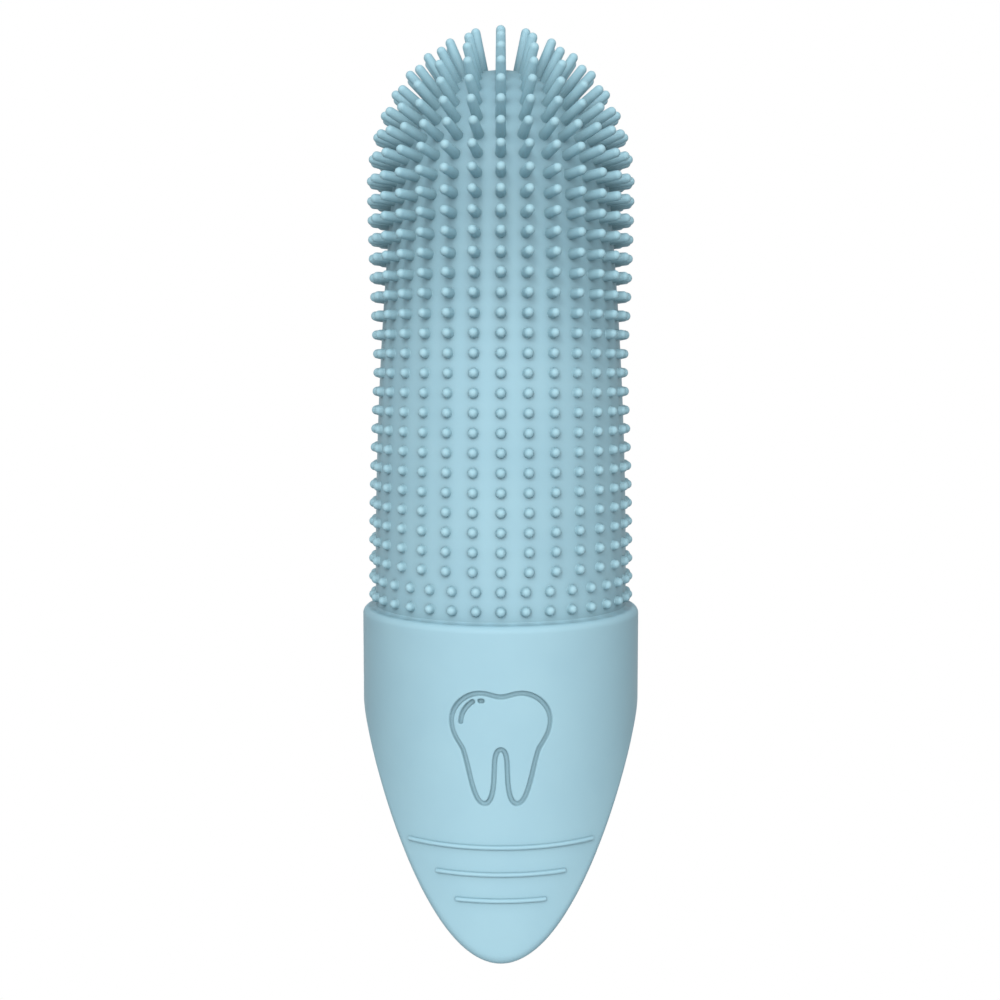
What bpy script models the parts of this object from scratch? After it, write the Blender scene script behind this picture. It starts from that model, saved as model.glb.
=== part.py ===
"""Finger toothbrush for pets: a soft silicone sleeve with rings of bristles and a pull tab.

The brush stands with its mouth at z = 0 and its domed tip up, and its axis is the Z axis. The
pull tab is a tongue of the collar that hangs below the mouth at the front, towards -Y. Each ring
of bristles is a hoop set round the sleeve's core, and the hoops keep a small gap to the core.
"""

import math

import bmesh
import bpy
import numpy as np
from mathutils import Matrix, Vector

MM = 0.001

# Sleeve: a barrel that narrows upwards, closed by half an ellipsoid
BARREL_RADIUS = 11.35 * MM      # at the widest height
BARREL_WIDEST = 10.45 * MM      # height of the widest point above the mouth
BARREL_CURVE = 373.0 * MM       # radius of the curve along the side
DOME_START = 46.24 * MM         # height where the dome takes over
DOME_RISE = 11.79 * MM          # vertical half-axis of the dome
SLEEVE_WALL = 1.8 * MM

# Bristles, in rings that are evenly spaced along the outline from the pole to the collar
RING_COUNT = 31
FIRST_RING = 1.80 * MM          # along the outline from the pole to the first ring
RING_PITCH = 1.663 * MM
BAND_BRISTLES = 30              # in each ring of the barrel
FOOT_BRISTLES = 34              # in each of the lowest rings
FOOT_RINGS = 2
FIRST_BRISTLES = 6              # in the ring next to the pole
ADDED_PER_RING = 4              # more bristles in each further ring of the dome
SHORT_BRISTLE = 0.60 * MM       # length of the nubs on the lower barrel
GROWTH = 0.1075                 # extra length for each length of outline nearer the pole
GROWTH_ARC = 31.1 * MM          # distance from the pole where the bristles start to grow
ROOT_HALF_WIDTH = 0.45 * MM
TIP_HALF_WIDTH = 0.40 * MM
HOOP_DEPTH = 0.5 * MM           # how deep a hoop is set into the sleeve
CORE_GAP = 0.15 * MM            # clearance between the hoops and the core
CROWN_RADIUS = 0.8 * MM         # disc that carries the bristle on the pole

# Collar, with the tongue that hangs from its front
COLLAR_RADIUS = 12.5 * MM
COLLAR_WALL = 1.6 * MM
COLLAR_HEIGHT = 9.07 * MM
SHOULDER_ROUND = 0.62 * MM
TONGUE_LENGTH = 20.0 * MM
TONGUE_FULLNESS = 1.80          # power of the cosine that shapes the edge; 2 is a parabola in front view

# Hinge line across the tongue, where the tab bends
HINGE_Y = -(COLLAR_RADIUS - COLLAR_WALL / 2.0)
HINGE_Z = -7.8 * MM
HINGE_GAP = 0.15 * MM
TAB_HALF_ANGLE = math.radians(46.0)
OUTWARD_RELIEF = math.radians(47.0)     # a little more than the tab's travel outwards
INWARD_RELIEF = math.radians(17.0)      # a little more than its travel inwards

# Raised grip ribs across the tab: height of the middle line, and half-angle round the tab
GRIP_RIBS = {
    "grip_rib_upper": (-9.69 * MM, math.radians(39.5)),
    "grip_rib_middle": (-12.02 * MM, math.radians(26.4)),
    "grip_rib_lower": (-14.28 * MM, math.radians(18.2)),
}
RIB_WIDTH = 0.42 * MM
RIB_HEIGHT = 0.29 * MM
RIB_GAP = 0.08 * MM

# Fineness of the round shapes
CORE_SEGMENTS = 30
COLLAR_SEGMENTS = 60
TAB_SEGMENTS = 23
RIB_SEGMENTS = 12
OUTLINE_STEPS = 400

SILICONES = {
    "sleeve_silicone": (0.42, 0.66, 0.76),
    "bristle_silicone": (0.48, 0.72, 0.82),
    "tab_silicone": (0.42, 0.66, 0.76),
}
ROUGHNESS = 0.5


def clear_scene():
    for old in list(bpy.data.objects):
        bpy.data.objects.remove(old, do_unlink=True)


def silicone(name):
    material = bpy.data.materials.new(name)
    material.use_nodes = True
    shader = material.node_tree.nodes["Principled BSDF"]
    shader.inputs["Base Color"].default_value = (*SILICONES[name], 1.0)
    shader.inputs["Roughness"].default_value = ROUGHNESS
    shader.inputs["Metallic"].default_value = 0.0
    return material


def add_object(name, bm, material):
    """Turn a closed bmesh into a named object whose faces point outwards."""
    bmesh.ops.recalc_face_normals(bm, faces=bm.faces)
    mesh = bpy.data.meshes.new(name)
    bm.to_mesh(mesh)
    bm.free()
    mesh.materials.append(material)
    mesh.shade_smooth()
    mesh.set_sharp_from_angle(angle=math.radians(40.0))
    obj = bpy.data.objects.new(name, mesh)
    bpy.context.collection.objects.link(obj)
    return obj


def place(radius, angle, height):
    """A point at an angle round the axis, measured from the front."""
    return Vector((radius * math.sin(angle), -radius * math.cos(angle), height))


def loft(sections, closed):
    """Join sections of equal point counts with quads, into a ring or a bar with capped ends."""
    bm = bmesh.new()
    loops = [[bm.verts.new(point) for point in section] for section in sections]
    following = loops[1:] + loops[:1] if closed else loops[1:]
    for here, there in zip(loops, following):
        for i in range(len(here)):
            j = (i + 1) % len(here)
            bm.faces.new((here[i], here[j], there[j], there[i]))
    if not closed:
        bm.faces.new(loops[0])
        bm.faces.new(loops[-1])
    return bm


# ---- The sleeve's outline ----

def barrel_radius(height):
    return BARREL_RADIUS - (height - BARREL_WIDEST) ** 2 / (2.0 * BARREL_CURVE)


def dome_ellipse():
    """Horizontal half-axis and centre height of the ellipse that meets the barrel without a kink."""
    radius = barrel_radius(DOME_START)
    lean = (DOME_START - BARREL_WIDEST) / BARREL_CURVE
    half_axis_squared = (radius ** 2 + math.sqrt(radius ** 4 + (2 * lean * radius * DOME_RISE) ** 2)) / 2
    above_centre = lean * radius * DOME_RISE ** 2 / half_axis_squared
    return math.sqrt(half_axis_squared), DOME_START - above_centre


def sleeve_outline():
    """Radii, heights and arc lengths of the outer outline, from the pole down to the mouth."""
    half_axis, centre = dome_ellipse()
    turn_end = math.asin((DOME_START - centre) / DOME_RISE)
    turns = np.linspace(math.pi / 2, turn_end, OUTLINE_STEPS)
    heights_below = np.linspace(DOME_START, 0.0, OUTLINE_STEPS)[1:]
    radii = np.concatenate([half_axis * np.cos(turns), barrel_radius(heights_below)])
    heights = np.concatenate([centre + DOME_RISE * np.sin(turns), heights_below])
    arcs = np.concatenate([[0.0], np.cumsum(np.hypot(np.diff(radii), np.diff(heights)))])
    return radii, heights, arcs


class Outline:
    """Reads points off the sleeve's outline by their distance from the pole."""

    def __init__(self):
        self.radii, self.heights, self.arcs = sleeve_outline()
        self.out_slope = np.gradient(self.radii, self.arcs)
        self.down_slope = -np.gradient(self.heights, self.arcs)
        self.length = float(self.arcs[-1])

    def frame(self, arc):
        """Radius, height and the unit tangent's outward and downward parts."""
        radius = float(np.interp(arc, self.arcs, self.radii))
        height = float(np.interp(arc, self.arcs, self.heights))
        out = float(np.interp(arc, self.arcs, self.out_slope))
        down = float(np.interp(arc, self.arcs, self.down_slope))
        size = math.hypot(out, down)
        return radius, height, out / size, down / size

    def point(self, arc, rise, along=0.0):
        """Radius and height of a point raised off the outline, and moved along its tangent."""
        radius, height, out, down = self.frame(arc)
        return radius + down * rise + out * along, height + out * rise - down * along


def bristle_count(ring):
    """Bristles in a ring, counted from the pole."""
    if ring > RING_COUNT - FOOT_RINGS:
        return FOOT_BRISTLES
    return min(BAND_BRISTLES, FIRST_BRISTLES + ADDED_PER_RING * (ring - 1))


def bristle_length(arc):
    return SHORT_BRISTLE + GROWTH * max(0.0, GROWTH_ARC - arc)


# ---- The pieces ----

def build_core(outline, material):
    """The inner sleeve that the finger goes into: open at the mouth and closed by the dome."""
    dome_arcs = np.linspace(0.0, 0.42 * outline.length, 11)[1:]
    side_arcs = np.linspace(0.42 * outline.length, outline.length, 5)[1:]
    levels = [*dome_arcs, *side_arcs]
    outside = [outline.point(arc, -HOOP_DEPTH - CORE_GAP) for arc in levels]
    inside = [outline.point(arc, -SLEEVE_WALL) for arc in levels]
    outside[-1] = (outside[-1][0], 0.0)
    inside[-1] = (inside[-1][0], 0.0)
    top = outline.point(0.0, 0.0)[1]
    profile = [(0.0, top - HOOP_DEPTH - CORE_GAP), *outside, *reversed(inside), (0.0, top - SLEEVE_WALL)]
    bm = bmesh.new()
    verts = [bm.verts.new(place(radius, 0.0, height)) for radius, height in profile]
    edges = [bm.edges.new(pair) for pair in zip(verts, verts[1:])]
    bmesh.ops.spin(bm, geom=verts + edges, cent=(0, 0, 0), axis=(0, 0, 1), angle=2 * math.pi,
                   steps=CORE_SEGMENTS, use_merge=True)
    bmesh.ops.remove_doubles(bm, verts=bm.verts, dist=0.001 * MM)
    return add_object("finger_sleeve", bm, material)


def build_ring(ring, outline, material):
    """A hoop with its bristles: square pegs that stand at right angles to the sleeve's surface."""
    arc = FIRST_RING + RING_PITCH * (ring - 1)
    count = bristle_count(ring)
    length = bristle_length(arc)
    root_radius = outline.point(arc, 0.0)[0]
    tip_radius = outline.point(arc, length)[0]
    root_turn = math.asin(ROOT_HALF_WIDTH / root_radius)
    tip_turn = math.asin(TIP_HALF_WIDTH / tip_radius)
    bm = bmesh.new()
    sides = []
    for side in (-1, 1):
        root = outline.point(arc, 0.0, side * ROOT_HALF_WIDTH)
        tip = outline.point(arc, length, side * TIP_HALF_WIDTH)
        inner = outline.point(arc, -HOOP_DEPTH, side * ROOT_HALF_WIDTH)
        inner = (inner[0] / math.cos(math.pi / count), inner[1])
        teeth = []
        for i in range(count):
            turn = 2 * math.pi * i / count
            corners = ((root, -root_turn), (tip, -tip_turn), (tip, tip_turn), (root, root_turn), (inner, 0.0))
            teeth.append([bm.verts.new(place(at[0], turn + offset, at[1])) for at, offset in corners])
        sides.append(teeth)
    for i in range(count):
        j = (i + 1) % count
        for teeth in sides:
            left_root, left_tip, right_tip, right_root, inner = teeth[i]
            bm.faces.new((left_root, left_tip, right_tip, right_root))
            bm.faces.new((left_root, right_root, inner))
            bm.faces.new((right_root, teeth[j][0], teeth[j][4], inner))
        below, above = sides[0][i], sides[1][i]
        for first in range(3):
            bm.faces.new((below[first], below[first + 1], above[first + 1], above[first]))
        bm.faces.new((below[3], sides[0][j][0], sides[1][j][0], above[3]))
        bm.faces.new((below[4], sides[0][j][4], sides[1][j][4], above[4]))
    bmesh.ops.triangulate(bm, faces=bm.faces)
    return add_object(f"bristle_ring_{ring:02d}", bm, material)


def build_crown(outline, material):
    """The single bristle on the pole, on its own small disc."""
    top = outline.point(0.0, 0.0)[1]
    length = bristle_length(0.0)
    profile = [(0.0, top - HOOP_DEPTH), (CROWN_RADIUS, top - HOOP_DEPTH), (CROWN_RADIUS, top),
               (ROOT_HALF_WIDTH, top), (TIP_HALF_WIDTH, top + length), (0.0, top + length)]
    bm = bmesh.new()
    verts = [bm.verts.new(place(radius, 0.0, height)) for radius, height in profile]
    edges = [bm.edges.new(pair) for pair in zip(verts, verts[1:])]
    bmesh.ops.spin(bm, geom=verts + edges, cent=(0, 0, 0), axis=(0, 0, 1), angle=2 * math.pi,
                   steps=12, use_merge=True)
    bmesh.ops.remove_doubles(bm, verts=bm.verts, dist=0.001 * MM)
    return add_object("bristle_crown", bm, material)


def tongue_edge(angle):
    """Height of the collar's lower edge: nearly a parabola in front view, and level at the back."""
    return -TONGUE_LENGTH * max(0.0, math.cos(angle)) ** TONGUE_FULLNESS


def build_collar(material):
    """The thick band round the mouth, with the root of the tongue down to the hinge line."""
    inner_radius = COLLAR_RADIUS - COLLAR_WALL
    sections = []
    for i in range(COLLAR_SEGMENTS):
        angle = 2 * math.pi * i / COLLAR_SEGMENTS
        low = max(tongue_edge(angle), HINGE_Z + HINGE_GAP)
        section = [place(inner_radius, angle, low), place(inner_radius, angle, COLLAR_HEIGHT)]
        for step in range(4):
            turn = math.pi / 2 * (1.0 - step / 3.0)
            radius = COLLAR_RADIUS - SHOULDER_ROUND * (1.0 - math.cos(turn))
            height = COLLAR_HEIGHT - SHOULDER_ROUND * (1.0 - math.sin(turn))
            section.append(place(radius, angle, height))
        section.append(place(COLLAR_RADIUS, angle, low))
        sections.append(section)
    return add_object("collar", loft(sections, closed=True), material)


def tab_top(radius, angle):
    """Height of the tab's top face, cut back in front of and behind the hinge to let it swing."""
    ahead = radius * math.cos(angle) + HINGE_Y
    relief = OUTWARD_RELIEF if ahead > 0.0 else INWARD_RELIEF
    return HINGE_Z - HINGE_GAP - abs(ahead) * math.tan(relief)


def build_tab(material):
    """The free part of the tongue, below the hinge line."""
    sections = []
    for i in range(TAB_SEGMENTS + 1):
        angle = TAB_HALF_ANGLE * (2.0 * i / TAB_SEGMENTS - 1.0)
        radii = (COLLAR_RADIUS - COLLAR_WALL, -HINGE_Y, COLLAR_RADIUS)
        section = [place(radius, angle, tab_top(radius, angle)) for radius in radii]
        section.append(place(radii[-1], angle, tongue_edge(angle)))
        section.append(place(radii[0], angle, tongue_edge(angle)))
        sections.append(section)
    return add_object("pull_tab", loft(sections, closed=False), material)


def build_rib(name, height, half_angle, material):
    """A raised bar across the tab's face, with a bevelled front."""
    foot = COLLAR_RADIUS + RIB_GAP
    crest = COLLAR_RADIUS + RIB_HEIGHT
    sections = []
    for i in range(RIB_SEGMENTS + 1):
        angle = half_angle * (2.0 * i / RIB_SEGMENTS - 1.0)
        sections.append([
            place(foot, angle, height - RIB_WIDTH / 2),
            place(foot, angle, height + RIB_WIDTH / 2),
            place(crest, angle, height + RIB_WIDTH / 4),
            place(crest, angle, height - RIB_WIDTH / 4),
        ])
    return add_object(name, loft(sections, closed=False), material)


def hang_on_hinge(pieces):
    """Parent the moving pieces to an empty that lies on the hinge line."""
    hinge = bpy.data.objects.new("tab_hinge", None)
    hinge.location = (0.0, HINGE_Y, HINGE_Z)
    bpy.context.collection.objects.link(hinge)
    for piece in pieces:
        piece.data.transform(Matrix.Translation(-hinge.location))
        piece.parent = hinge


def main():
    clear_scene()
    materials = {name: silicone(name) for name in SILICONES}
    outline = Outline()
    build_core(outline, materials["sleeve_silicone"])
    build_collar(materials["sleeve_silicone"])
    for ring in range(1, RING_COUNT + 1):
        build_ring(ring, outline, materials["bristle_silicone"])
    build_crown(outline, materials["bristle_silicone"])
    tab_pieces = [build_tab(materials["tab_silicone"])]
    for name, (height, half_angle) in GRIP_RIBS.items():
        tab_pieces.append(build_rib(name, height, half_angle, materials["tab_silicone"]))
    hang_on_hinge(tab_pieces)


main()
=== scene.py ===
"""Finger toothbrush for pets, in its final surfaces: silicone skin, bristles, collar and pull tab."""

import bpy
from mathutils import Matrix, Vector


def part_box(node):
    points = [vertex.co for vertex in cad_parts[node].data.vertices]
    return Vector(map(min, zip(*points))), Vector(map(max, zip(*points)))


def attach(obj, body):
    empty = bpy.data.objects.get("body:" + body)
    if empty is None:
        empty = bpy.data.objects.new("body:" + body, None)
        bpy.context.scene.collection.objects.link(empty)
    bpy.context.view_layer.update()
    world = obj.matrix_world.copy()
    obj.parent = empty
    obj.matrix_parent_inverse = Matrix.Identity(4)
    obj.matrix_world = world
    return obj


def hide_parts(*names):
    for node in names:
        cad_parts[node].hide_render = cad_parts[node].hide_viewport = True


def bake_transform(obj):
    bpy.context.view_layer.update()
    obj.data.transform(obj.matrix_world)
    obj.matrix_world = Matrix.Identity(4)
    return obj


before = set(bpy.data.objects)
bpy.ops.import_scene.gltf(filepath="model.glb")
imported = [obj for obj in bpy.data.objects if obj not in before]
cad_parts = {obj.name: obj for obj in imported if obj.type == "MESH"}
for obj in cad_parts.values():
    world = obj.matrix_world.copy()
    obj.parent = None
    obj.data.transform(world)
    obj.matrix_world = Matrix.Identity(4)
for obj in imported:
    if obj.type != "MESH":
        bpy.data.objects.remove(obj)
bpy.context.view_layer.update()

import math

import bpy
import numpy as np
from mathutils import Vector

MM = 0.001

# ---- Sizes read from the frame ----

COLLAR_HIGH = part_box("collar")[1]
COLLAR_RADIUS = COLLAR_HIGH.x
COLLAR_TOP = COLLAR_HIGH.z
TONGUE_LENGTH = -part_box("pull_tab")[0].z
RINGS = sorted(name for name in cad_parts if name.startswith("bristle_ring_"))

# ---- The sleeve's outline, as in the CAD model ----

BARREL_RADIUS = 11.35 * MM
BARREL_WIDEST = 10.45 * MM
BARREL_CURVE = 373.0 * MM
DOME_START = 46.24 * MM
DOME_RISE = 11.79 * MM
SLEEVE_WALL = 1.8 * MM
SLEEVE_FOOT = 0.8 * MM          # the sleeve ends this far above the mouth, inside the collar
SLEEVE_COLUMNS = 128
SKIN_ROWS = 150
CAVITY_ROWS = 80
OUTLINE_STEPS = 400

# ---- Bristles, in rings that are evenly spaced along the outline ----

FIRST_RING = 1.80 * MM          # along the outline from the pole to the first ring
RING_PITCH = 1.663 * MM
BAND_BRISTLES = 30              # in each ring of the barrel
FOOT_BRISTLES = 34              # in each of the lowest rings
FOOT_RINGS = 2
FIRST_BRISTLES = 6              # in the ring next to the pole
ADDED_PER_RING = 4              # more bristles in each further ring of the dome
SHORT_BRISTLE = 0.60 * MM       # length of the nubs on the lower barrel
GROWTH = 0.1075                 # extra length for each length of outline nearer the pole
GROWTH_ARC = 31.1 * MM          # distance from the pole where the bristles start to grow
ROOT_RADIUS = 0.46 * MM         # the fillet adds to it where the bristle leaves the skin
TIP_RADIUS = 0.415 * MM
ROOT_FILLET = 0.07 * MM
ROOT_DEPTH = 0.25 * MM          # how far a bristle's foot reaches into the skin
FOOT_TOP = 0.05 * MM            # depth at which the straight foot ends
FILLET_SINK = 0.03 * MM         # depth at which the root fillet starts
FILLET_STEPS = 4
TIP_STEPS = 6
BRISTLE_SIDES = 16

# ---- Collar and tongue ----

SHOULDER_ROUND = 0.62 * MM
SHOULDER_STEPS = 8
COLLAR_FILLET = 0.50 * MM       # hollow bend between the collar's top and the sleeve
COLLAR_SINK = 0.03 * MM         # how deep the collar's upper end lies under the sleeve's skin
COLLAR_LIP = 0.6 * MM           # how far that end runs up there
TONGUE_WALL = 1.6 * MM
TONGUE_TAPER = 0.1 * MM         # the wall is this much thicker at the mouth and thinner at the edge
TONGUE_FULLNESS = 1.80          # power of the cosine that shapes the edge
OUTER_ROUND = 0.90 * MM
INNER_ROUND = 0.35 * MM
BACK_FILLET = 0.6 * MM          # hollow bend between the tongue's back and the collar's underside
MOUTH_ROUND = 0.5 * MM
MOUTH_STEP = 0.15 * MM          # the lining's radius is this much under the cavity's widest
LINING_HIGH = 1.6 * MM          # where the lining turns into the sleeve's wall
LINING_END = 1.7 * MM           # where it ends inside the wall
LINING_SINK = 0.4 * MM          # how far it reaches into the wall
LINING_BEND = 0.02 * MM
RIM_STEPS = 7
RUN_IN = 3                      # number of bends by which a path overshoots its first or last bend
LARGEST_BEND = 0.48             # share of a side that a bend may take up
BACK_ROWS = 30                  # rows on the tongue's back, which let it bend
BACK_COLUMNS = 22               # columns on each side of the collar's back
SIDE_COLUMNS = 32               # columns between the emblem and each side
TOLERANCE = 0.001 * MM

# ---- Engraved tooth: its zone has fine columns and rows, which end lower than the roots ----

EMBLEM_HALF_WIDTH = 4.6 * MM
EMBLEM_HIGH = 3.9 * MM
EMBLEM_LOW = -7.3 * MM
EMBLEM_COLUMNS = 158
EMBLEM_ROWS = 206
UPPER_ROWS = 10                 # rows between the shoulder and the emblem
LOWER_ROWS = 30                 # rows between the emblem and the tongue's edge
CURVE_STEPS = 14
GROOVE_FLOOR = 0.13 * MM        # half-width of the groove's flat floor
GROOVE_HALF_WIDTH = 0.225 * MM
GROOVE_DEPTH = 0.33 * MM

# ---- Grip ribs: height of the middle line and half-angle round the tab ----

GRIP_RIBS = {
    "grip_rib_upper": (-9.69 * MM, math.radians(39.5)),
    "grip_rib_middle": (-12.02 * MM, math.radians(26.4)),
    "grip_rib_lower": (-14.28 * MM, math.radians(18.2)),
}
RIB_HALF_WIDTH = 0.20 * MM
RIB_HEIGHT = 0.27 * MM
RIB_DEPTH = 0.25 * MM           # how far a rib's foot reaches into the tab
RIB_SINK = 0.02 * MM            # the arch's sides start this far below the tab's face
RIB_BLUNTNESS = 0.8             # below 1, the section is fuller than a half ellipse
RIB_END = 0.06                  # angle left out at a rib's very end, so that it isn't a point
RIB_END_STEPS = 9
RIB_LONG_STEPS = 61
RIB_ARCH_STEPS = 13

# ---- Silicone: the light and dark colour of its clouds, lighter and darker copies of it painted with light and shade, and the painted shade that darkens it in a fold ----

SMOOTH_COLOURS = ((0.415, 0.67, 0.777), (0.395, 0.645, 0.757))
# painted shade: a slightly darker copy of the collar's colours, for the sleeve between the nubs
SHADED_SLEEVE_COLOURS = ((0.405, 0.654, 0.757), (0.385, 0.629, 0.737))
# painted light: a lighter copy of the same colours, for the bristles
LIT_BRISTLE_COLOURS = ((0.435, 0.70, 0.80), (0.415, 0.675, 0.78))
SKIN_ROUGHNESS = 0.5
THIN_ROUGHNESS = 0.47
UNEVEN_GLOSS = 0.06             # how far the roughness varies either way
CLOUD_SCALE = 220.0
GLOSS_SCALE = 900.0
GRAIN_SCALE = 9000.0
GRAIN_HEIGHT = 0.02 * MM
SMOOTH_SHADE_REACH = 1.00 * MM        # how far from a fold the painted shade reaches on the collar and tab
BRISTLED_SHADE_REACH = 2.0 * MM       # the same between the bristles
SMOOTH_UNSHADED_SHARE = 0.96              # share of open space above which the collar and tab get no painted shade
BRISTLED_UNSHADED_SHARE = 1.00            # the same between the bristles
# painted shade: the colour that darkens the silicone in folds, corners and between the bristles, where
# shadow falls
PAINTED_CREVICE_SHADE = (0.40, 0.38, 0.36)
WHITE = (1.0, 1.0, 1.0)

# ---- Room: strength of its light in front, behind, overhead and everywhere else ----

FRONT_LIGHT = 1.82
FRONT_ELEVATION = math.radians(17.0)
FRONT_NARROWNESS = 3.0
BACK_LIGHT = 1.10
BACK_NARROWNESS = 5.0
TOP_LIGHT = 0.22
ROOM_LIGHT = 0.13

# ---- Key light, floor and camera, in metres and watts ----

KEY_PLACE = Vector((-0.20, -0.64, 0.45))
KEY_AIM = Vector((0.0, 0.0, 0.02))
KEY_SIZE = 0.3
KEY_POWER = 1.2
FLOOR_REACH = 4.0
FLOOR_HEIGHT = -0.1
CAMERA_PLACE = (-0.068 * MM, -136.98 * MM, 30.55 * MM)
CAMERA_PITCH = math.radians(90.0 - 4.988)
CAMERA_LENS = 54.57             # millimetres, on a sensor 36 mm wide
CAMERA_SENSOR = 36.0
NEAREST_SEEN = 0.005
FARTHEST_SEEN = 20.0


# ---- Mesh helpers ----

def place(radius, angle, height):
    """A point at an angle round the axis, measured from the front."""
    return (radius * math.sin(angle), -radius * math.cos(angle), height)


def mesh_object(name, verts, faces, material):
    mesh = bpy.data.meshes.new(name)
    mesh.from_pydata(verts, [], faces)
    mesh.validate()
    mesh.update()
    mesh.shade_smooth()
    mesh.materials.append(material)
    obj = bpy.data.objects.new(name, mesh)
    bpy.context.scene.collection.objects.link(obj)
    return obj


def ring_quads(first, second, count, flip=False):
    """Quads between two rings of vertices, which start at the given indices."""
    quads = []
    for i in range(count):
        j = (i + 1) % count
        quad = (first + i, first + j, second + j, second + i)
        quads.append(quad[::-1] if flip else quad)
    return quads


def revolve(name, profile, segments, material):
    """A closed body of revolution; the profile runs from the axis round and back to the axis."""
    verts = [(0.0, 0.0, profile[0][1])]
    faces = []
    for radius, height in profile[1:-1]:
        for i in range(segments):
            verts.append(place(radius, 2 * math.pi * i / segments, height))
    last = len(verts)
    verts.append((0.0, 0.0, profile[-1][1]))
    for i in range(segments):
        j = (i + 1) % segments
        faces.append((0, 1 + i, 1 + j))
        faces.append((last - segments + i, last, last - segments + j))
    for level in range(len(profile) - 3):
        first = 1 + level * segments
        faces += ring_quads(first, first + segments, segments, flip=True)
    return mesh_object(name, verts, faces, material)


def soften(corners, setbacks, steps):
    """A path through corner points, where each inner corner is replaced by a quarter of an ellipse.

    setbacks holds, for each inner corner, how far the bend reaches back along both sides."""
    path = [corners[0]]
    for i in range(1, len(corners) - 1):
        corner = Vector(corners[i])
        before = Vector(corners[i - 1]) - corner
        after = Vector(corners[i + 1]) - corner
        before *= min(setbacks[i - 1][0] / before.length, LARGEST_BEND)
        after *= min(setbacks[i - 1][1] / after.length, LARGEST_BEND)
        for step in range(steps + 1):
            turn = math.pi / 2 * step / steps
            path.append(tuple(corner + before * (1 - math.sin(turn)) + after * (1 - math.cos(turn))))
    path.append(corners[-1])
    return path


# ---- Sleeve skin ----

def barrel_radius(height):
    return BARREL_RADIUS - (height - BARREL_WIDEST) ** 2 / (2.0 * BARREL_CURVE)


def dome_ellipse():
    """Horizontal half-axis and centre height of the ellipse that meets the barrel without a kink."""
    radius = barrel_radius(DOME_START)
    lean = (DOME_START - BARREL_WIDEST) / BARREL_CURVE
    half_axis_squared = (radius ** 2 + math.sqrt(radius ** 4 + (2 * lean * radius * DOME_RISE) ** 2)) / 2
    above_centre = lean * radius * DOME_RISE ** 2 / half_axis_squared
    return math.sqrt(half_axis_squared), DOME_START - above_centre


class Outline:
    """The sleeve's outer outline, read by the distance from the pole."""

    def __init__(self):
        half_axis, centre = dome_ellipse()
        turn_end = math.asin((DOME_START - centre) / DOME_RISE)
        turns = np.linspace(math.pi / 2, turn_end, OUTLINE_STEPS)
        below = np.linspace(DOME_START, 0.0, OUTLINE_STEPS)[1:]
        self.radii = np.concatenate([half_axis * np.cos(turns), barrel_radius(below)])
        self.heights = np.concatenate([centre + DOME_RISE * np.sin(turns), below])
        steps = np.hypot(np.diff(self.radii), np.diff(self.heights))
        self.arcs = np.concatenate([[0.0], np.cumsum(steps)])
        self.out_slope = np.gradient(self.radii, self.arcs)
        self.down_slope = -np.gradient(self.heights, self.arcs)
        self.length = float(self.arcs[-1])

    def frame(self, arc):
        """Radius, height and the unit tangent's outward and downward parts."""
        values = (self.radii, self.heights, self.out_slope, self.down_slope)
        radius, height, out, down = (float(np.interp(arc, self.arcs, v)) for v in values)
        size = math.hypot(out, down)
        return radius, height, out / size, down / size

    def point(self, arc, rise):
        """Radius and height of a point raised off the outline."""
        radius, height, out, down = self.frame(arc)
        return radius + down * rise, height + out * rise


def make_sleeve(outline, material):
    """The thin sleeve: the outer skin, the finger's cavity, and a foot that ends inside the collar."""
    outer_arcs = np.linspace(0.0, outline.length - SLEEVE_FOOT, SKIN_ROWS)
    inner_arcs = np.linspace(outline.length - SLEEVE_FOOT, 0.0, CAVITY_ROWS)
    profile = [outline.point(arc, 0.0) for arc in outer_arcs]
    profile += [outline.point(arc, -SLEEVE_WALL) for arc in inner_arcs]
    skin = revolve("sleeve_skin", profile, SLEEVE_COLUMNS, material)
    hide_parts("finger_sleeve")
    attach(skin, "sleeve")


# ---- Bristles ----

def bristle_profile(length):
    """Radii and heights from the sunk foot, through the root fillet, up to the round tip."""
    flare = ROOT_RADIUS + ROOT_FILLET
    profile = [(flare, -ROOT_DEPTH), (flare, -FOOT_TOP)]
    for step in range(1, FILLET_STEPS + 1):
        turn = math.pi / 2 * step / FILLET_STEPS
        rise = ROOT_FILLET * (1 - math.cos(turn)) - FILLET_SINK
        profile.append((flare - ROOT_FILLET * math.sin(turn), rise))
    tip_centre = length - TIP_RADIUS
    for step in range(TIP_STEPS):
        turn = math.pi / 2 * step / TIP_STEPS
        profile.append((TIP_RADIUS * math.cos(turn), tip_centre + TIP_RADIUS * math.sin(turn)))
    return profile


def add_bristle(verts, faces, base, axis, across, profile):
    """One bristle of round section, closed at the foot and at the tip."""
    along = axis.cross(across)
    start = len(verts)
    for radius, rise in profile:
        for i in range(BRISTLE_SIDES):
            turn = 2 * math.pi * i / BRISTLE_SIDES
            offset = across * (radius * math.cos(turn)) + along * (radius * math.sin(turn))
            verts.append(tuple(base + axis * rise + offset))
    tip = len(verts)
    last_turn = math.pi / 2 * (TIP_STEPS - 1) / TIP_STEPS
    top = profile[-1][1] + TIP_RADIUS * (1.0 - math.sin(last_turn))
    verts.append(tuple(base + axis * top))
    for level in range(len(profile) - 1):
        first = start + level * BRISTLE_SIDES
        faces += ring_quads(first, first + BRISTLE_SIDES, BRISTLE_SIDES)
    last = tip - BRISTLE_SIDES
    for i in range(BRISTLE_SIDES):
        faces.append((last + i, last + (i + 1) % BRISTLE_SIDES, tip))
    faces.append(tuple(range(start + BRISTLE_SIDES - 1, start - 1, -1)))


def bristle_count(ring):
    if ring > len(RINGS) - FOOT_RINGS:
        return FOOT_BRISTLES
    return min(BAND_BRISTLES, FIRST_BRISTLES + ADDED_PER_RING * (ring - 1))


def bristle_length(arc):
    return SHORT_BRISTLE + GROWTH * max(0.0, GROWTH_ARC - arc)


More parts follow.
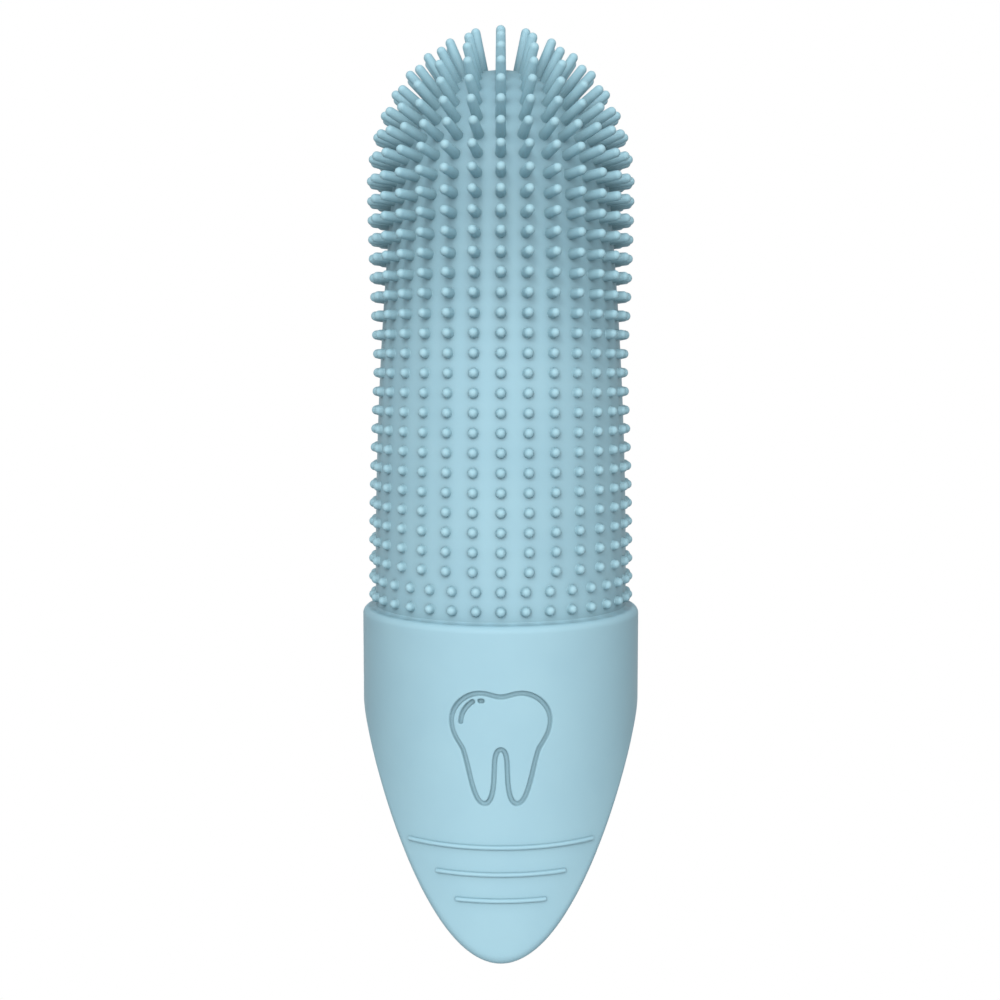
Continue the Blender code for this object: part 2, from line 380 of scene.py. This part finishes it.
def make_ring(node, ring, outline, material):
    """One ring of bristles, counted from the pole, that stand at right angles to the skin."""
    arc = FIRST_RING + RING_PITCH * (ring - 1)
    radius, height, out, down = outline.frame(arc)
    profile = bristle_profile(bristle_length(arc))
    count = bristle_count(ring)
    verts, faces = [], []
    for i in range(count):
        turn = 2 * math.pi * i / count
        outward = Vector(place(1.0, turn, 0.0))
        axis = outward * down + Vector((0, 0, out))
        across = Vector((math.cos(turn), math.sin(turn), 0.0))
        add_bristle(verts, faces, Vector(place(radius, turn, height)), axis, across, profile)
    bristles = mesh_object(node.replace("ring", "row"), verts, faces, material)
    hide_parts(node)
    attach(bristles, "sleeve")


def make_crown(outline, material):
    """The bristle on the pole."""
    verts, faces = [], []
    base = Vector((0.0, 0.0, outline.point(0.0, 0.0)[1]))
    profile = bristle_profile(bristle_length(0.0))
    add_bristle(verts, faces, base, Vector((0, 0, 1)), Vector((1, 0, 0)), profile)
    crown = mesh_object("crown_bristle", verts, faces, material)
    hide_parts("bristle_crown")
    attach(crown, "sleeve")


# ---- The engraved tooth ----

def bezier(start, handle_a, handle_b, end):
    """Points along a cubic curve, without its end point."""
    t = np.linspace(0.0, 1.0, CURVE_STEPS, endpoint=False)[:, None]
    start, handle_a, handle_b, end = (np.array(p) for p in (start, handle_a, handle_b, end))
    from_start = start * (1 - t) ** 3 + handle_a * 3 * t * (1 - t) ** 2
    return from_start + handle_b * 3 * t ** 2 * (1 - t) + end * t ** 3


def tooth_lines():
    """Centre lines of the grooves, in millimetres across the collar's face and up from the mouth."""
    half = np.concatenate([
        bezier((0.0, 3.17), (0.55, 3.17), (1.05, 3.47), (1.7, 3.47)),
        bezier((1.7, 3.47), (3.0, 3.47), (4.25, 2.32), (4.25, 1.1)),
        bezier((4.25, 1.1), (4.25, -0.05), (3.64, -0.6), (3.25, -1.3)),
        bezier((3.25, -1.3), (2.66, -2.8), (2.40, -5.93), (1.38, -5.93)),
        bezier((1.38, -5.93), (0.66, -5.93), (0.57, -4.2), (0.55, -3.0)),
        bezier((0.55, -3.0), (0.54, -2.0), (0.41, -1.31), (0.0, -1.31)),
        [(0.0, -1.31)],
    ])
    outline = np.concatenate([half, half[::-1][1:] * (-1, 1)])
    glint_end = (-3.44, 0.98)
    glint = np.concatenate([bezier((-2.38, 2.74), (-2.87, 2.43), (-3.36, 1.9), glint_end), [glint_end]])
    dot = np.array([(-1.76, 2.81), (-1.58, 2.81)])
    return [outline * MM, glint * MM, dot * MM]


def distance_to_line(points, line):
    """Shortest distance from each point to a polyline."""
    best = np.full(len(points), np.inf)
    for a, b in zip(line, line[1:]):
        side = b - a
        t = np.clip(((points - a) @ side) / (side @ side), 0.0, 1.0)
        best = np.minimum(best, np.linalg.norm(points - a - t[:, None] * side, axis=1))
    return best


def groove_depths(across, heights):
    """How deep the engraving is at each point of the collar's outer face."""
    points = np.stack([across, heights], axis=1)
    distance = np.min([distance_to_line(points, line) for line in tooth_lines()], axis=0)
    t = np.clip((GROOVE_HALF_WIDTH - distance) / (GROOVE_HALF_WIDTH - GROOVE_FLOOR), 0.0, 1.0)
    return GROOVE_DEPTH * t * t * (3 - 2 * t)


# ---- Collar with its tongue ----

def tongue_edge(angle):
    """Height of the lower edge: a tongue in front, a little fuller than a parabola, and level behind."""
    return -TONGUE_LENGTH * max(0.0, math.cos(angle)) ** TONGUE_FULLNESS


def edge_stretch(angle):
    """How much longer a vertical step is than the same step at right angles to the edge."""
    steepness = TONGUE_FULLNESS * max(0.0, math.cos(angle)) ** (TONGUE_FULLNESS - 1.0) * math.sin(angle)
    return math.hypot(1.0, TONGUE_LENGTH / COLLAR_RADIUS * steepness)


def graded(edges, counts):
    """Values that run through the given edges, with a number of even steps in each stretch."""
    values = [np.linspace(a, b, n, endpoint=False) for a, b, n in zip(edges, edges[1:], counts)]
    return np.concatenate([*values, [edges[-1]]])


def column_angles():
    """Angles of the collar's columns, close together across the emblem."""
    side = math.pi / 2
    emblem = EMBLEM_HALF_WIDTH / COLLAR_RADIUS
    counts = [BACK_COLUMNS, SIDE_COLUMNS, EMBLEM_COLUMNS, SIDE_COLUMNS, BACK_COLUMNS]
    return graded([-math.pi, -side, -emblem, emblem, side, math.pi], counts)[:-1]


def row_shares(face_top):
    """Shares of the way down the collar's outer face, close together across the emblem."""
    fall = face_top + TONGUE_LENGTH
    edges = [0.0, (face_top - EMBLEM_HIGH) / fall, (face_top - EMBLEM_LOW) / fall, 1.0]
    return graded(edges, [UPPER_ROWS, EMBLEM_ROWS, LOWER_ROWS])


def collar_section(angle, face_top, shares):
    """Radii and heights round the collar's wall: shoulder, face, rim, the tongue's back and the mouth."""
    low = tongue_edge(angle)
    stretch = edge_stretch(angle)
    inner = COLLAR_RADIUS - TONGUE_WALL
    under_skin = BARREL_RADIUS - COLLAR_SINK
    bore = BARREL_RADIUS - SLEEVE_WALL - MOUTH_STEP
    inner_low = (inner + TONGUE_TAPER, low)
    inner_high = (inner - TONGUE_TAPER, 0.0)
    shoulder = soften(
        [(under_skin, COLLAR_TOP + COLLAR_LIP), (under_skin, COLLAR_TOP),
         (COLLAR_RADIUS, COLLAR_TOP), (COLLAR_RADIUS, COLLAR_TOP - RUN_IN * SHOULDER_ROUND)],
        [(COLLAR_FILLET, COLLAR_FILLET), (SHOULDER_ROUND, SHOULDER_ROUND)], SHOULDER_STEPS)
    rim = soften(
        [(COLLAR_RADIUS, low + RUN_IN * OUTER_ROUND * stretch), (COLLAR_RADIUS, low), inner_low, inner_high],
        [(OUTER_ROUND * stretch, OUTER_ROUND), (INNER_ROUND, INNER_ROUND * stretch)], RIM_STEPS)[1:-1]
    mouth = soften(
        [inner_low, inner_high, (bore, 0.0), (bore, LINING_HIGH), (bore + LINING_SINK, LINING_END)],
        [(BACK_FILLET, BACK_FILLET), (MOUTH_ROUND, MOUTH_ROUND), (LINING_BEND, LINING_BEND)], RIM_STEPS)[1:]
    face = [(COLLAR_RADIUS, face_top + (rim[0][1] - face_top) * share) for share in shares[1:-1]]
    back = [tuple(point) for point in np.linspace(rim[-1], mouth[0], BACK_ROWS)[1:-1]]
    return shoulder[:-1] + face + rim + back + mouth


def make_collar(material):
    """The collar and its tongue as one skin, with the mouth's rim and the engraved tooth."""
    face_top = COLLAR_TOP - SHOULDER_ROUND
    shares = row_shares(face_top)
    columns = []
    for angle in column_angles():
        section = collar_section(angle, face_top, shares)
        columns.append([(radius, angle, height) for radius, height in section])
    grid = np.array(columns)
    radii, angles, heights = grid[..., 0], grid[..., 1], grid[..., 2]
    on_emblem = ((np.abs(angles) * COLLAR_RADIUS < EMBLEM_HALF_WIDTH) & (heights < EMBLEM_HIGH)
                 & (heights > EMBLEM_LOW) & (radii > COLLAR_RADIUS - TOLERANCE))
    radii[on_emblem] -= groove_depths(angles[on_emblem] * COLLAR_RADIUS, heights[on_emblem])
    verts = [place(*point) for point in grid.reshape(-1, 3)]
    columns_made, rows = grid.shape[:2]
    faces = []
    for i in range(columns_made):
        here, there = i * rows, (i + 1) % columns_made * rows
        for row in range(rows):
            following = (row + 1) % rows
            faces.append((here + row, here + following, there + following, there + row))
    collar = mesh_object("collar_and_tab", verts, faces, material)
    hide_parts("collar", "pull_tab")
    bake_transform(collar)


# ---- Grip ribs ----

def make_rib(name, height, half_angle, material):
    """A raised bar round the tab's face, of half-round section and with round ends."""
    end_turn = RIB_HALF_WIDTH / COLLAR_RADIUS
    straight = half_angle - end_turn
    round_end = np.linspace(RIB_END, math.pi / 2, RIB_END_STEPS)
    stations = [(-straight - end_turn * math.cos(turn), math.sin(turn)) for turn in round_end]
    stations += [(angle, 1.0) for angle in np.linspace(-straight, straight, RIB_LONG_STEPS)[1:-1]]
    stations += [(-angle, size) for angle, size in stations[RIB_END_STEPS - 1::-1]]
    foot = COLLAR_RADIUS - RIB_DEPTH
    verts = []
    for angle, size in stations:
        half_width = RIB_HALF_WIDTH * size
        for arch in np.linspace(0.0, math.pi, RIB_ARCH_STEPS):
            rise = RIB_HEIGHT * size * math.sin(arch) ** RIB_BLUNTNESS - RIB_SINK
            verts.append(place(COLLAR_RADIUS + rise, angle, height + half_width * math.cos(arch)))
        verts.append(place(foot, angle, height - half_width))
        verts.append(place(foot, angle, height + half_width))
    rows = len(verts) // len(stations)
    faces = []
    for station in range(len(stations) - 1):
        faces += ring_quads(station * rows, (station + 1) * rows, rows)
    faces.append(tuple(range(rows - 1, -1, -1)))
    faces.append(tuple(range(len(verts) - rows, len(verts))))
    rib = mesh_object(name.replace("grip_rib", "tab_rib"), verts, faces, material)
    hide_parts(name)
    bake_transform(rib)


# ---- Material ----

def noise_node(tree, coordinates, scale, detail):
    """Noise laid out in the object's own coordinates."""
    noise = tree.nodes.new("ShaderNodeTexNoise")
    noise.inputs["Scale"].default_value = scale
    noise.inputs["Detail"].default_value = detail
    tree.links.new(coordinates.outputs["Object"], noise.inputs["Vector"])
    return noise.outputs["Fac"]


def ramp_node(tree, factor, *stops):
    """Colour that runs between two stops, each a position and a colour."""
    ramp = tree.nodes.new("ShaderNodeValToRGB")
    for element, (position, colour) in zip(ramp.color_ramp.elements, stops):
        element.position = position
        element.color = (*colour, 1.0)
    tree.links.new(factor, ramp.inputs["Fac"])
    return ramp.outputs["Color"]


def silicone(name, colours, roughness, shade_reach, unshaded_share):
    """Matte silicone: clouded in colour, darkened in the folds by painted shade, uneven in gloss and finely
    grained.
    """
    light, dark = colours
    material = bpy.data.materials.new(name)
    material.use_nodes = True
    tree = material.node_tree
    nodes, links = tree.nodes, tree.links
    shader = nodes["Principled BSDF"]
    shader.inputs["Subsurface Weight"].default_value = 0.05
    shader.inputs["Subsurface Radius"].default_value = (0.6, 0.9, 1.0)
    shader.inputs["Subsurface Scale"].default_value = 0.3 * MM
    shader.inputs["Specular IOR Level"].default_value = 0.35
    shader.inputs["IOR"].default_value = 1.41
    coordinates = nodes.new("ShaderNodeTexCoord")

    clouds = ramp_node(tree, noise_node(tree, coordinates, CLOUD_SCALE, 3.0), (0.3, dark), (0.7, light))
    # painted shade: an ambient occlusion node darkens the base colour in folds, corners and between the
    # bristles
    occlusion_shade_node = nodes.new("ShaderNodeAmbientOcclusion")
    occlusion_shade_node.samples = 8
    occlusion_shade_node.inputs["Distance"].default_value = shade_reach
    painted_shade_colour = ramp_node(tree, occlusion_shade_node.outputs["AO"], (0.1, PAINTED_CREVICE_SHADE), (unshaded_share, WHITE))
    shaded = nodes.new("ShaderNodeMix")
    shaded.data_type = "RGBA"
    shaded.blend_type = "MULTIPLY"
    shaded.inputs["Factor"].default_value = 1.0
    links.new(clouds, shaded.inputs["A"])
    links.new(painted_shade_colour, shaded.inputs["B"])
    links.new(shaded.outputs["Result"], shader.inputs["Base Color"])

    spread = nodes.new("ShaderNodeMapRange")
    spread.inputs["To Min"].default_value = roughness - UNEVEN_GLOSS
    spread.inputs["To Max"].default_value = roughness + UNEVEN_GLOSS
    links.new(noise_node(tree, coordinates, GLOSS_SCALE, 2.0), spread.inputs["Value"])
    links.new(spread.outputs["Result"], shader.inputs["Roughness"])

    bump = nodes.new("ShaderNodeBump")
    bump.inputs["Strength"].default_value = 0.12
    bump.inputs["Distance"].default_value = GRAIN_HEIGHT
    links.new(noise_node(tree, coordinates, GRAIN_SCALE, 2.0), bump.inputs["Height"])
    links.new(bump.outputs["Normal"], shader.inputs["Normal"])
    return material


# ---- Stage, light and camera ----

def make_camera():
    data = bpy.data.cameras.new("camera")
    data.lens = CAMERA_LENS
    data.sensor_width = CAMERA_SENSOR
    data.clip_start = NEAREST_SEEN
    data.clip_end = FARTHEST_SEEN
    camera = bpy.data.objects.new("camera", data)
    camera.location = CAMERA_PLACE
    camera.rotation_euler = (CAMERA_PITCH, 0.0, 0.0)
    bpy.context.scene.collection.objects.link(camera)
    bpy.context.scene.camera = camera


def make_floor():
    """A plain pale floor well below the brush, which casts no tint on it."""
    corners = [(-1, -1), (1, -1), (1, 1), (-1, 1)]
    verts = [(FLOOR_REACH * x, FLOOR_REACH * y, FLOOR_HEIGHT) for x, y in corners]
    paint = bpy.data.materials.new("floor_paint")
    paint.use_nodes = True
    nodes, links = paint.node_tree.nodes, paint.node_tree.links
    nodes.remove(nodes["Principled BSDF"])
    glow = nodes.new("ShaderNodeEmission")
    links.new(glow.outputs["Emission"], nodes["Material Output"].inputs["Surface"])
    floor = mesh_object("floor", verts, [(0, 1, 2, 3)], paint)
    floor.visible_diffuse = False
    floor.visible_glossy = False
    floor.visible_transmission = False
    floor.visible_shadow = False


def make_key():
    """A soft lamp above the camera, to its left."""
    data = bpy.data.lights.new("key", "AREA")
    data.shape = "DISK"
    data.size = KEY_SIZE
    data.energy = KEY_POWER
    light = bpy.data.objects.new("key", data)
    light.location = KEY_PLACE
    light.rotation_euler = (KEY_AIM - KEY_PLACE).to_track_quat("-Z", "Y").to_euler()
    bpy.context.scene.collection.objects.link(light)


def math_node(tree, operation, *values):
    """A maths node; each value is a number or another node's output."""
    node = tree.nodes.new("ShaderNodeMath")
    node.operation = operation
    for socket, value in zip(node.inputs, values):
        if isinstance(value, float):
            socket.default_value = value
        else:
            tree.links.new(value, socket)
    return node.outputs["Value"]


def lobe(tree, facing, narrowness):
    """Light that fades away from the direction it comes from."""
    return math_node(tree, "POWER", math_node(tree, "MAXIMUM", facing, 0.0), narrowness)


def make_room():
    """A white room that is brightest in front and dimmer behind; the camera sees it plain white."""
    scene = bpy.context.scene
    scene.view_settings.view_transform = "Standard"
    scene.world = bpy.data.worlds.new("studio")
    scene.world.use_nodes = True
    tree = scene.world.node_tree
    nodes, links = tree.nodes, tree.links
    direction = nodes.new("ShaderNodeTexCoord").outputs["Generated"]
    towards_front = nodes.new("ShaderNodeVectorMath")
    towards_front.operation = "DOT_PRODUCT"
    towards_front.inputs[1].default_value = (0.0, -math.cos(FRONT_ELEVATION), math.sin(FRONT_ELEVATION))
    links.new(direction, towards_front.inputs[0])
    split = nodes.new("ShaderNodeSeparateXYZ")
    links.new(direction, split.inputs["Vector"])

    facing = towards_front.outputs["Value"]
    front = lobe(tree, facing, FRONT_NARROWNESS)
    back = lobe(tree, math_node(tree, "MULTIPLY", facing, -1.0), BACK_NARROWNESS)
    top = math_node(tree, "MAXIMUM", split.outputs["Z"], 0.0)
    strength = math_node(tree, "MULTIPLY_ADD", top, TOP_LIGHT, ROOM_LIGHT)
    strength = math_node(tree, "MULTIPLY_ADD", back, BACK_LIGHT, strength)
    strength = math_node(tree, "MULTIPLY_ADD", front, FRONT_LIGHT, strength)

    backdrop = nodes["Background"]
    backdrop.inputs["Color"].default_value = (*WHITE, 1.0)
    room = nodes.new("ShaderNodeBackground")
    room.inputs["Color"].default_value = (*WHITE, 1.0)
    links.new(strength, room.inputs["Strength"])
    mix = nodes.new("ShaderNodeMixShader")
    links.new(nodes.new("ShaderNodeLightPath").outputs["Is Camera Ray"], mix.inputs["Fac"])
    links.new(room.outputs["Background"], mix.inputs[1])
    links.new(backdrop.outputs["Background"], mix.inputs[2])
    links.new(mix.outputs["Shader"], nodes["World Output"].inputs["Surface"])


def main():
    make_camera()
    make_floor()
    make_key()
    make_room()
    smooth = silicone("smooth_silicone", SMOOTH_COLOURS, SKIN_ROUGHNESS, SMOOTH_SHADE_REACH, SMOOTH_UNSHADED_SHARE)
    # the sleeve gets the darker copy of the colours, which is painted shade, and the bristles the lighter
    # copy, which is painted light
    bristled = silicone(
        "bristled_silicone", SHADED_SLEEVE_COLOURS, SKIN_ROUGHNESS, BRISTLED_SHADE_REACH, BRISTLED_UNSHADED_SHARE)
    thin = silicone("thin_silicone", LIT_BRISTLE_COLOURS, THIN_ROUGHNESS, BRISTLED_SHADE_REACH, BRISTLED_UNSHADED_SHARE)
    outline = Outline()
    make_sleeve(outline, bristled)
    make_collar(smooth)
    for name, (height, half_angle) in GRIP_RIBS.items():
        make_rib(name, height, half_angle, smooth)
    for ring, node in enumerate(RINGS, start=1):
        make_ring(node, ring, outline, thin)
    make_crown(outline, thin)


main()
